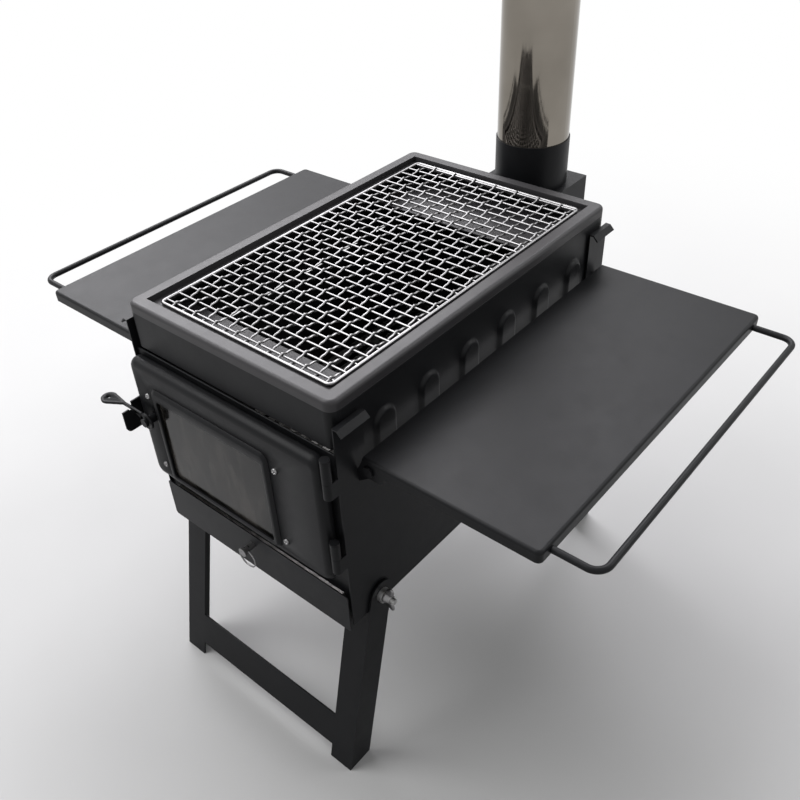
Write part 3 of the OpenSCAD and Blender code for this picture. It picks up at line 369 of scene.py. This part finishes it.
def crimped_wires(stops, ends, offsets, first_up, crown, along):
    """Crimped wires that run along one axis, one for each offset across it.

    Each is straight at the net's level, with a round crown of exp(-(distance / 2.6)^2)
    at each stop, up and down in turn, and swapped from wire to wire. A round section
    is carried along each, and both ends are closed at the wire's middle.
    """
    steps, sides = 8, 7
    places = np.concatenate([[ends[0]], stops, [ends[1]]])
    spans = [np.linspace(a, b, steps + 1) for a, b in zip(places[:-1], places[1:])]
    s = np.unique(np.concatenate(spans).round(4))
    turn = (-1.0) ** (np.arange(len(stops))[None, :] + np.arange(len(offsets))[:, None]) * first_up
    hump = np.exp(-((s[:, None] - stops[None, :]) / CROWN_HALF) ** 2)
    rise = crown * np.einsum("wk,sk->ws", turn, hump)
    # The crowns die out over the last stretch before the border
    from_end = np.minimum(s - ends[0], ends[1] - s)
    rise = rise * np.clip((from_end + LAST_RISE) / DIE_OUT, 0, 1)
    middle = np.zeros((len(offsets), len(s), 3))
    middle[..., along] = s
    middle[..., 1 - along] = offsets[:, None]
    middle[..., 2] = NET_Z + rise
    ring = np.zeros((sides, 3))
    ring[:, 1 - along], ring[:, 2] = circle(THIN, sides).T
    tube = middle[:, :, None, :] + ring
    first, last = middle[:, :1, None].repeat(sides, 2), middle[:, -1:, None].repeat(sides, 2)
    return np.concatenate([first, tube, last], 1)


def cooking_net():
    """The net in one piece: wires along it, wires across it and the border rod."""
    # The wires end within the border rod, and the long ones a little past it at the rear
    x_ends = (-NET_X + 0.4, NET_X - BORDER)
    y_ends = (-NET_Y + 0.3, NET_Y + 0.5)
    long_wires = crimped_wires(CROSS_Y, y_ends, ALONG_X, 1, LONG_CROWN, 1)
    cross_wires = crimped_wires(ALONG_X, x_ends, CROSS_Y, -1, CROSS_CROWN, 0)
    loop, _ = rounded_path(2 * (NET_X - BORDER), 2 * (NET_Y - BORDER), corner=4, steps=7)
    path = np.concatenate([loop, np.full((len(loop), 1), NET_Z)], 1)
    rod = carried(path, circle(BORDER, 14), (0, 0, 1))
    wires = [wire + NET_MIDDLE for wire in (*long_wires, *cross_wires)]
    grids("crimped_net", WIRE, "grill", "grill_net", wires, [rod + NET_MIDDLE])


# The drawer's pull ring

# The middle of the wire at the ring's top, where it hangs, and the ring's and the wire's radii
RING_TOP = (0, -221.0, -231.0)
RING_R = 11.2
RING_WIRE = 0.8


def pull_ring():
    """Wire ring welded into one: a thin round section carried once round a circle."""
    steps = 120
    a = np.arange(steps) / steps * TURN
    height = RING_TOP[2] - RING_R + RING_R * np.cos(a)
    path = np.stack([RING_R * np.sin(a), np.full(steps, RING_TOP[1]), height], -1)
    tube = carried(path, circle(RING_WIRE, 14), (0, 1, 0))
    grids("pull_ring_wire", WIRE, "pull_ring", "drawer_ring", loops=[tube])


# Rope gasket and glass tape

def knitted_rope(name, wide, high, corner, centre, y_middle, radius, squash, body, stands_for):
    """Rope round a rectangle with round corners.

    The section's radius swells where the strands of a twist cross: it is 0.84, plus
    0.16 times the absolute sine of one and a half times the angle plus the turns
    walked, plus a ripple of 0.05. It is pressed flat by squash.
    """
    sides, twist_length = 18, 16
    loop, walked = rounded_path(wide, high, corner, 9)
    path = np.stack([loop[:, 0] + centre[0], np.full(len(loop), y_middle), loop[:, 1] + centre[1]], -1)
    u = np.arange(sides) / sides * TURN
    twist = walked[:, None] / walked[-1] * TURN * round(walked[-1] / twist_length)
    strands = 0.16 * np.abs(np.sin(1.5 * u[None] + twist))
    ripple = 0.05 * np.sin(4 * twist - 3 * u[None])
    swell = radius * (0.84 + strands + ripple)
    section = np.stack([swell * np.cos(u), swell * np.sin(u) * squash], -1)
    tube = carried(path, section, (0, 1, 0))
    grids(name, ROPE, body, stands_for, loops=[tube])


# The pressed door and its window

# Boxes on the door's face, each as its left, right, lower and upper edge
DOOR = (-129.0, 119.0, -199.0, -54.0)
OPENING = (-93.6, 52.4, -186.5, -87.5)
FRAME_OUTSIDE = (-99.2, 58.0, -192.0, -77.0)
FRAME_INSIDE = (-91.7, 50.5, -184.5, -89.5)
# Where the door's face and its rear edge lie
DOOR_FACE, DOOR_BACK = -220.0, -209.3
# Thickness of the pressed sheet of the door and the skirts, and of the window's glass
SHEET_THICK, GLASS_THICK = 1.2, 4.0
# Points in each quarter circle of a rounded rectangle
QUARTER = 9


def inset(box, by):
    """A box drawn in by one length on each side."""
    return box[0] + by, box[1] - by, box[2] + by, box[3] - by


def stations(rows):
    """Rounded rectangles one behind the other.

    Each row's box, corner radius and y give four quarter circles about the corners'
    centres, joined by straights.
    """
    a = np.linspace(0, np.pi / 2, QUARTER)
    turn = (a[None] + np.arange(4)[:, None] * np.pi / 2).ravel()
    right = np.repeat([1, 0, 0, 1], QUARTER)
    top = np.repeat([1, 1, 0, 0], QUARTER)
    loops = []
    for (x0, x1, z0, z1), corner, y in rows:
        x = np.where(right, x1 - corner, x0 + corner) + corner * np.cos(turn)
        z = np.where(top, z1 - corner, z0 + corner) + corner * np.sin(turn)
        loops.append(np.stack([x, np.full(len(x), y), z], -1))
    return np.array(loops)


def rolled_edge(drawn_in, roll, corner, turns):
    """The door's edge rolling over from its side to its face.

    At each turn v it is drawn in by roll times (1 - cos v) and lies roll times
    (1 - sin v) behind the face, on the outside or, drawn in, on the inside.
    """
    rows = []
    for v in turns:
        by = roll * (1 - np.cos(v))
        rows.append((inset(DOOR, drawn_in + by), corner - by, DOOR_FACE + drawn_in + roll * (1 - np.sin(v))))
    return rows


def door_pan():
    """Pressed door.

    Its outside runs forward, rolls over by a quarter circle and goes flat to the
    window's opening, and the inside follows at the sheet's thickness.
    """
    roll, corner, opening_corner, broken, step = 8.0, 12.0, 8, 0.3, 0.4
    t = np.linspace(0, np.pi / 2, 8)
    rows = [(DOOR, corner, DOOR_BACK), (DOOR, corner, DOOR_BACK - broken)]
    rows += rolled_edge(0, roll, corner, t)
    rows += [(inset(DOOR, roll + step), corner - roll, DOOR_FACE),
             (inset(OPENING, -broken), opening_corner + broken, DOOR_FACE),
             (OPENING, opening_corner, DOOR_FACE + broken),
             (OPENING, opening_corner, DOOR_FACE + SHEET_THICK)]
    rows += rolled_edge(SHEET_THICK, roll - SHEET_THICK, corner - SHEET_THICK, t[::-1])
    rows += [(inset(DOOR, SHEET_THICK), corner - SHEET_THICK, DOOR_BACK)]
    grids("pressed_door_pan", BLACK, "door", "door_panel", loops=[stations(rows)])


def window_trim():
    """Pressed window frame.

    Its outside slopes inward and forward, then it goes flat to its opening and back
    to the glass.
    """
    # Each row's box, corner radius and depth, from its outside at the door's face to its inside
    low, high = DOOR_FACE - 0.02, DOOR_FACE - 3
    rows = [(FRAME_OUTSIDE, 8, low), (inset(FRAME_OUTSIDE, 0.3), 7.7, low - 0.4),
            (inset(FRAME_OUTSIDE, 3.2), 5, high + 0.2), (inset(FRAME_OUTSIDE, 3.8), 4.5, high),
            (inset(FRAME_INSIDE, -0.7), 4.7, high), (inset(FRAME_INSIDE, -0.1), 4.1, high + 0.3),
            (FRAME_INSIDE, 4, high + 0.8), (FRAME_INSIDE, 4, low)]
    grids("pressed_window_frame", BLACK, "door", "window_frame", loops=[stations(rows)])


def glass_pane():
    """Flat pane: a rounded rectangle with its edges broken, and each face closed at its middle."""
    play, broken, corner = 0.15, 0.4, 7.9
    pane = inset(OPENING, play)
    face = (inset(pane, broken), corner - broken)
    back = DOOR_FACE + GLASS_THICK
    rows = [(*face, DOOR_FACE), (pane, corner, DOOR_FACE + broken),
            (pane, corner, back - broken), (*face, back)]
    loops = stations(rows)
    first, last = [loops[k:k + 1].mean(1, keepdims=True).repeat(4 * QUARTER, 1) for k in (0, len(rows) - 1)]
    loops = np.concatenate([first, loops[:1], loops, last])
    grids("window_pane", GLASS, "door", "window_glass", [loops], smooth=False)


# Screws and wing nuts

def cross_head(places, radius, high, way, spin):
    """Pan heads with a cross recess, one at each place.

    On a disc of radius r the height is high times (1 - (r / radius)^4) to the power
    0.4, less a recess wherever the point is near one of two crossed bars, which fades
    out by a smooth step. The head is closed just behind its seat.
    """
    rows, columns, seat = 17, 48, 0.05
    r = np.linspace(0, 1, rows)[:, None] * radius
    u = np.arange(columns)[None, :] / columns * TURN
    x, y = r * np.cos(u + spin), r * np.sin(u + spin)
    dome = high * np.clip(1 - (r / radius) ** 4, 0, 1) ** 0.4 + 0 * u
    # The bars' half width and half length as shares of the radius, where the recess
    # begins, how far it fades, and how deep it goes
    thin_bar, long_bar = 0.2, 0.62
    begins, fades, deep = 1.15, 0.3, 0.75
    one_bar = np.maximum(np.abs(x) / thin_bar, np.abs(y) / long_bar)
    other_bar = np.maximum(np.abs(y) / thin_bar, np.abs(x) / long_bar)
    bars = np.minimum(one_bar, other_bar) / radius
    cut = np.clip((begins - bars) / fades, 0, 1)
    height = dome - deep * high * cut * cut * (3 - 2 * cut)
    way = np.asarray(way, float)
    side = np.cross(way, (0, 0, 1.0))
    side /= np.linalg.norm(side)
    other = np.cross(way, side)
    cap = x[..., None] * side + y[..., None] * other + height[..., None] * way
    foot = cap[-1:] - seat * way
    middle = np.zeros((1, columns, 3)) - seat * way
    head = np.concatenate([cap, foot, middle])
    return np.asarray(places, float)[:, None, None, :] + head[None]


def window_screws():
    """The heads of the four screws beside the window frame."""
    places = [(x, DOOR_FACE, z) for x in (-106.9, 64.9) for z in (-91.0, -177.0)]
    heads = cross_head(places, radius=3.2, high=2.0, way=(0, -1, 0), spin=0.35)
    grids("window_screw_heads", WIRE, "door", "window_screws", heads)


# A wing nut's seat from the middle plane, its height about the rim, and its bore's radius
NUT_SEAT, NUT_HIGH, NUT_BORE = 137.9, -244.5, 3.05
# The hub's outline from seat to top, as radius and height
NUT_HUB = [(NUT_BORE, 0.0), (5.7, 0.0), (6.0, 0.5), (5.9, 1.4), (5.2, 3.5), (4.7, 5.6), (4.4, 6.6),
           (4.0, 7.0), (NUT_BORE, 7.0), (NUT_BORE, 0.0)]
# How far along the wing it is widest, and its half width at the root and there
WING_BELLY, WING_ROOT, WING_WIDE = 0.42, 2.9, 4.4
# Where the wing's middle line starts and how far it goes from there, outward and up
WING_OUT, WING_REACH, WING_HIGH, WING_RISE = 3.2, 11.3, 3.4, 4.8
# Its half thickness at the root, how much it loses, and the share over which its tip closes
WING_THICK, WING_THINS, WING_TIP = 1.45, 0.35, 0.06


def wing_nut(end, side, x_side, y_place):
    """Cast wing nut: a turned hub that narrows outward, and two wings that stand up.

    Each wing is a row of rounded oval sections carried from the hub out and up. Its
    width grows evenly to the belly and then follows half an ellipse to the tip, and
    its thickness thins evenly and closes at the tip as a square root.
    """
    axis = np.array([x_side, 0.0, 0.0])
    base = np.array([x_side * NUT_SEAT, y_place, NUT_HIGH])
    wing_way = np.array([0.0, 0.0, 1.0])
    flat = np.cross(axis, wing_way)
    hub_sides, sides = 32, 16
    hub = turned(NUT_HUB, hub_sides, axis, base, wing_way)
    t = np.linspace(0, 1, 20)
    out = WING_OUT + WING_REACH * t
    high = WING_HIGH + WING_RISE * t ** 1.4
    half_ellipse = np.sqrt(np.clip(1 - ((t - WING_BELLY) / (1 - WING_BELLY)) ** 2, 0, 1)) * WING_WIDE
    width = np.where(t < WING_BELLY, WING_ROOT + (WING_WIDE - WING_ROOT) * t / WING_BELLY, half_ellipse)
    thick = (WING_THICK - WING_THINS * t) * np.clip((1 - t) / WING_TIP, 0, 1) ** 0.5
    oval = np.arange(sides) / sides * TURN
    across = np.cos(oval)[None, :, None] * width[:, None, None]
    through = (np.sign(np.sin(oval)) * np.abs(np.sin(oval)) ** 0.7)[None, :, None] * thick[:, None, None]
    wings = []
    for s in (-1, 1):
        middle = base + s * out[:, None] * wing_way + high[:, None] * axis
        along = np.gradient(middle, axis=0)
        along /= np.linalg.norm(along, axis=1)[:, None]
        up = np.cross(along, flat) * s
        section = across * up[:, None] + through * flat
        root, tip = middle[:1, None].repeat(sides, 1), middle[-1:, None].repeat(sides, 1)
        wings.append(np.concatenate([root, middle[:, None] + section, tip]))
    grids(f"wing_nut_{end}_{side}_cast", WIRE, f"wing_nut_{end[0]}{side[0]}",
          f"wing_nut_{end}_{side}", [hub, *wings])


# The top frame's skirts

# A hood's half width and the width of its flank, how far it stands out, the middle of
# its arch, its lower edge, and the distance from hood to hood
HOOD_R, HOOD_FLANK, HOOD_OUT, HOOD_Z, HOOD_LOW, HOOD_PITCH = 14.5, 4.0, 3.4, -51.5, -75.5, 58.8
HOODS = 6
# The skirt's outer face from the middle plane, its upper and lower edges and half its length
SKIRT_X, SKIRT_TOP, SKIRT_LOW, SKIRT_END = 126.6, -10.0, -82.0, 197.0


def hooded_skirt(side, name, stands_for):
    """Skirt with six pressed hoods, which are open at their lower edge.

    With d the distance from an arch's centre above it, or from its middle line below
    it, the sheet stands out by 3.4 times k * k * (3 - 2 * k), where k rises from 0 at
    d = 14.5 to 1 at d = 10.5. At the hoods' lower edge the sheet is cut: the hood's
    edge and the plain sheet behind it are each closed across their thickness.
    """
    along, upper_rows, lower_rows, clearance = 341, 60, 5, 0.3
    y = np.linspace(-SKIRT_END, SKIRT_END, along)
    upper = np.linspace(SKIRT_TOP, HOOD_LOW, upper_rows)
    z = np.concatenate([upper, np.linspace(HOOD_LOW, SKIRT_LOW, lower_rows)])
    rows, columns, cut = 2 * len(z), along + 2, upper_rows - 1
    middle = (np.arange(HOODS) - (HOODS - 1) / 2) * HOOD_PITCH
    across = y[None, :, None] - middle
    above = np.clip(z[:, None, None] - HOOD_Z, 0, None)
    k = np.clip((HOOD_R - np.hypot(across, above).min(-1)) / HOOD_FLANK, 0, 1)
    out = HOOD_OUT * k * k * (3 - 2 * k)
    out[cut + 1:] = 0
    face = np.concatenate([SKIRT_X + out, SKIRT_X - SHEET_THICK + out[::-1]])
    ends = np.full((rows, 1), SKIRT_X - SHEET_THICK / 2)
    x = np.concatenate([ends, face, ends], 1)
    y = np.concatenate([y[:1], y, y[-1:]])
    heights = np.concatenate([z, z[::-1]])[:, None]
    points = np.stack(np.broadcast_arrays(side * x, y[None, :], heights), -1)
    faces = grid_faces(rows, columns, True, False).reshape(rows, columns - 1, 4)
    corner = np.arange(rows * columns).reshape(rows, columns)
    # Where the hood stands clear of the sheet, its lower edge is left open
    clear = np.concatenate([[0], out[cut], [0]]) > SHEET_THICK + clearance
    gap = np.flatnonzero(clear[:-1] & clear[1:])
    for outer, row in ((cut, cut), (cut + 1, rows - 2 - cut)):
        front, behind = corner[outer], corner[rows - 1 - outer]
        faces[row, gap] = np.stack([front[gap], front[gap + 1], behind[gap + 1], behind[gap]], -1)
    edge = np.flatnonzero(np.diff(np.isin(np.arange(columns - 1), gap).astype(int))) + 1
    around = (cut, rows - 1 - cut, rows - 2 - cut, cut + 1)
    sides = np.stack([corner[row, edge] for row in around], -1)
    faces = np.concatenate([faces.reshape(-1, 4), sides])
    surface(name, points.reshape(-1, 3), faces, BLACK, "top_frame", stands_for)


# The latch lever

def hull_outline(circles, shrink):
    """Outline round several circles, like a string pulled round them.

    A circle is its middle's two places and its radius. For each direction, the point
    is the centre plus radius times direction of the circle that reaches furthest
    that way.
    """
    way = circle(1, 96)
    circles = np.asarray(circles, float)
    best = (circles[:, :2] @ way.T + circles[:, 2:]).argmax(0)
    return circles[best, :2] + (circles[best, 2:] - shrink) * way


def plate(circles, hole, low, high):
    """Flat plate between two heights with softly broken edges.

    Its outline goes round the circles, and both faces run in to a hole, or to a
    point where the hole's radius is nought.
    """
    edge, face_edge = 0.35, 0.95
    outline = {shrink: hull_outline(circles, shrink) for shrink in (0, edge, face_edge)}
    inner = hull_outline([hole], 0)
    rows = [(inner, high), (outline[face_edge], high), (outline[edge], high), (outline[0], high - edge),
            (outline[0], low + edge), (outline[edge], low), (outline[face_edge], low), (inner, low)]
    return np.array([np.concatenate([loop, np.full((len(loop), 1), height)], 1) for loop, height in rows])


def latch_lever():
    """Lever cut from one strip.

    A disc, a shoulder and a neck stand upright in front of the door, and a level
    drop-shaped paddle with a hanging hole sits at the neck's end.
    """
    front, back = -230.3, -227.7
    # Circles by x, z and radius in the upright sheets, and by x, y and radius in the paddle
    upright = [plate([(-105, -115, 8.8)], (-105, -115, 2.7), front, back),
               plate([(-112, -112, 3.4), (-121, -109.1, 1.7)], (-114, -111, 0), front, back),
               plate([(-112, -109.1, 1.7), (-140, -109.1, 1.7)], (-125, -109.1, 0), front, back)]
    paddle = plate([(-158, -233, 8), (-139, -229, 1.5)], (-158, -233, 2.4), -110.2, -107.4)
    pieces = [sheet[..., [0, 2, 1]] for sheet in upright] + [paddle]
    grids("latch_lever_plate", BLACK, "latch", "latch_lever", loops=pieces)


cooking_net()
pull_ring()
door_pan()
window_trim()
glass_pane()
latch_lever()
hooded_skirt(1, "hooded_skirt_right", "skirt_right")
hooded_skirt(-1, "hooded_skirt_left", "skirt_left")
window_screws()
for side, x_side in (("left", -1), ("right", 1)):
    for end, y_place in (("front", -172.0), ("rear", 172.0)):
        wing_nut(end, side, x_side, y_place)
knitted_rope("door_rope_gasket", wide=207, high=124, corner=6, centre=(0, -128), y_middle=-207.5,
             radius=4.0, squash=0.36, body="stove_body", stands_for="door_gasket")
knitted_rope("window_tape_seal", wide=142, high=95, corner=7, centre=(-20.6, -137), y_middle=-215.5,
             radius=2.0, squash=0.24, body="door", stands_for="glass_seal")


# Floor, light and camera

def seen_as_white(tree):
    """One for rays from the camera, and for rays that metal reflects or glass lets through.

    Metal and glass then show the pale background that the camera sees. For all other
    rays it is nought.
    """
    path = tree.nodes.new("ShaderNodeLightPath")
    value = path.outputs["Is Camera Ray"]
    for ray in ("Is Glossy Ray", "Is Transmission Ray"):
        most = tree.nodes.new("ShaderNodeMath")
        most.operation = "MAXIMUM"
        tree.links.new(value, most.inputs[0])
        tree.links.new(path.outputs[ray], most.inputs[1])
        value = most.outputs[0]
    return value


# Half the floor's side, and the distances in metres from the middle between which it fades to white
FLOOR_HALF, FADE_FROM, FADE_TO = 9, 0.3, 1.5


def pale_floor():
    """Dull pale floor: near the stove plainly lit, further out the room's white by a smooth step."""
    material, tree, place, shade = shader("pale_floor")
    greys = [(0.2, (0.43, 0.43, 0.43)), (0.8, (0.47, 0.47, 0.47))]
    tree.links.new(ramp(tree, grain(tree, place, 3, 4), greys), shade.inputs["Base Color"])
    shade.inputs["Roughness"].default_value = 0.9
    shade.inputs["Specular IOR Level"].default_value = 0.1
    far = tree.nodes.new("ShaderNodeVectorMath")
    far.operation = "LENGTH"
    tree.links.new(place, far.inputs[0])
    fade = tree.nodes.new("ShaderNodeMapRange")
    fade.interpolation_type = "SMOOTHSTEP"
    fade.inputs["From Min"].default_value = FADE_FROM
    fade.inputs["From Max"].default_value = FADE_TO
    tree.links.new(far.outputs["Value"], fade.inputs["Value"])
    both = tree.nodes.new("ShaderNodeMath")
    both.operation = "MULTIPLY"
    tree.links.new(fade.outputs["Result"], both.inputs[0])
    tree.links.new(seen_as_white(tree), both.inputs[1])
    white = tree.nodes.new("ShaderNodeEmission")
    mix = tree.nodes.new("ShaderNodeMixShader")
    tree.links.new(both.outputs[0], mix.inputs[0])
    tree.links.new(shade.outputs[0], mix.inputs[1])
    tree.links.new(white.outputs[0], mix.inputs[2])
    tree.links.new(mix.outputs[0], tree.nodes["Material Output"].inputs["Surface"])
    return material


def studio():
    """A large flat floor, which takes the stove's shadow."""
    count = 25
    side = np.linspace(-FLOOR_HALF, FLOOR_HALF, count)
    points = np.stack(np.broadcast_arrays(side[None, :], side[:, None], 0.0), -1)
    mesh = bpy.data.meshes.new("studio_floor")
    mesh.from_pydata(points.reshape(-1, 3).tolist(), [], grid_faces(count, count, False, False).tolist())
    floor = bpy.data.objects.new("studio_floor", mesh)
    bpy.context.scene.collection.objects.link(floor)
    mesh.materials.append(pale_floor())


def lamp(name, place, aim_high, size, watts, colour=(1, 1, 1), roll=0):
    """A soft rectangular lamp that faces a height above the middle of the floor.

    It is rolled about the way it faces by an angle in degrees.
    """
    light = bpy.data.lights.new(name, "AREA")
    light.shape = "RECTANGLE"
    light.size, light.size_y = size
    light.energy = watts
    light.color = colour
    holder = bpy.data.objects.new(name, light)
    holder.location = place
    holder.visible_camera = False
    facing = (Vector((0, 0, aim_high)) - Vector(place)).to_track_quat("-Z", "Y").to_matrix()
    holder.rotation_euler = (facing @ Matrix.Rotation(np.radians(roll), 3, "Z")).to_euler()
    bpy.context.scene.collection.objects.link(holder)


# The room's strength for the fill, and where it is seen: 1 is white
FILL, WHITE = 0.25, 1.0


def surroundings():
    """A white room as the camera, metal and glass see it, and a plain even fill for the rest."""
    world = bpy.data.worlds.new("pale_room")
    world.use_nodes = True
    bpy.context.scene.world = world
    tree = world.node_tree
    back = tree.nodes["Background"]
    strength = tree.nodes.new("ShaderNodeMapRange")
    strength.inputs["To Min"].default_value = FILL
    strength.inputs["To Max"].default_value = WHITE
    tree.links.new(seen_as_white(tree), strength.inputs["Value"])
    tree.links.new(strength.outputs["Result"], back.inputs["Strength"])
    back.inputs["Color"].default_value = (1, 1, 1, 1)


# The photo's camera, worked out from the rim, shelves, pipe and feet: its azimuth,
# elevation and roll in degrees, its place, its lens in millimetres and its shift
CAMERA_ANGLES = (42.635, 38.769, -3.555)
CAMERA_PLACE = (502.65, -555.89, 400.86)
CAMERA_LENS, SENSOR = 39.22, 36
CAMERA_SHIFT = (0.0203, 0.0163)


def photo_camera():
    """The photo's camera: it looks back along its angles, with its right and up turned by the roll."""
    turn, tilt, roll = np.radians(CAMERA_ANGLES)
    back = np.array([np.sin(turn) * np.cos(tilt), -np.cos(turn) * np.cos(tilt), np.sin(tilt)])
    level = np.array([np.cos(turn), np.sin(turn), 0])
    above = np.cross(back, level)
    right = level * np.cos(roll) + above * np.sin(roll)
    up = -level * np.sin(roll) + above * np.cos(roll)
    camera = bpy.data.cameras.new("photo_camera")
    camera.lens = CAMERA_LENS
    camera.sensor_width = SENSOR
    camera.shift_x, camera.shift_y = CAMERA_SHIFT
    camera.clip_start = 0.01
    holder = bpy.data.objects.new("photo_camera", camera)
    matrix = np.eye(4)
    matrix[:3] = np.stack([right, up, back, rim(CAMERA_PLACE)], 1)
    holder.matrix_world = Matrix(matrix.tolist())
    bpy.context.scene.collection.objects.link(holder)
    bpy.context.scene.camera = holder


studio()
lamp("left_softbox", (-1.5, 1.2, 2.3), aim_high=0.45, size=(3.2, 1.5), watts=124,
     colour=(0.98, 0.97, 1.0), roll=-24)
lamp("top_left_lamp", (-1.15, -0.25, 2.75), aim_high=0.4, size=(1.7, 1.3), watts=30)
lamp("front_left_lamp", (-1.35, -1.45, 2.25), aim_high=0.4, size=(1.7, 1.3), watts=32)
lamp("rear_right_lamp", (1.3, 1.5, 2.1), aim_high=0.45, size=(1.3, 1.3), watts=20)
lamp("fill_lamp", (2.2, -1.0, 1.9), aim_high=0.3, size=(1.6, 1.6), watts=4)
surroundings()
photo_camera()

bpy.context.scene.view_settings.view_transform = "Standard"
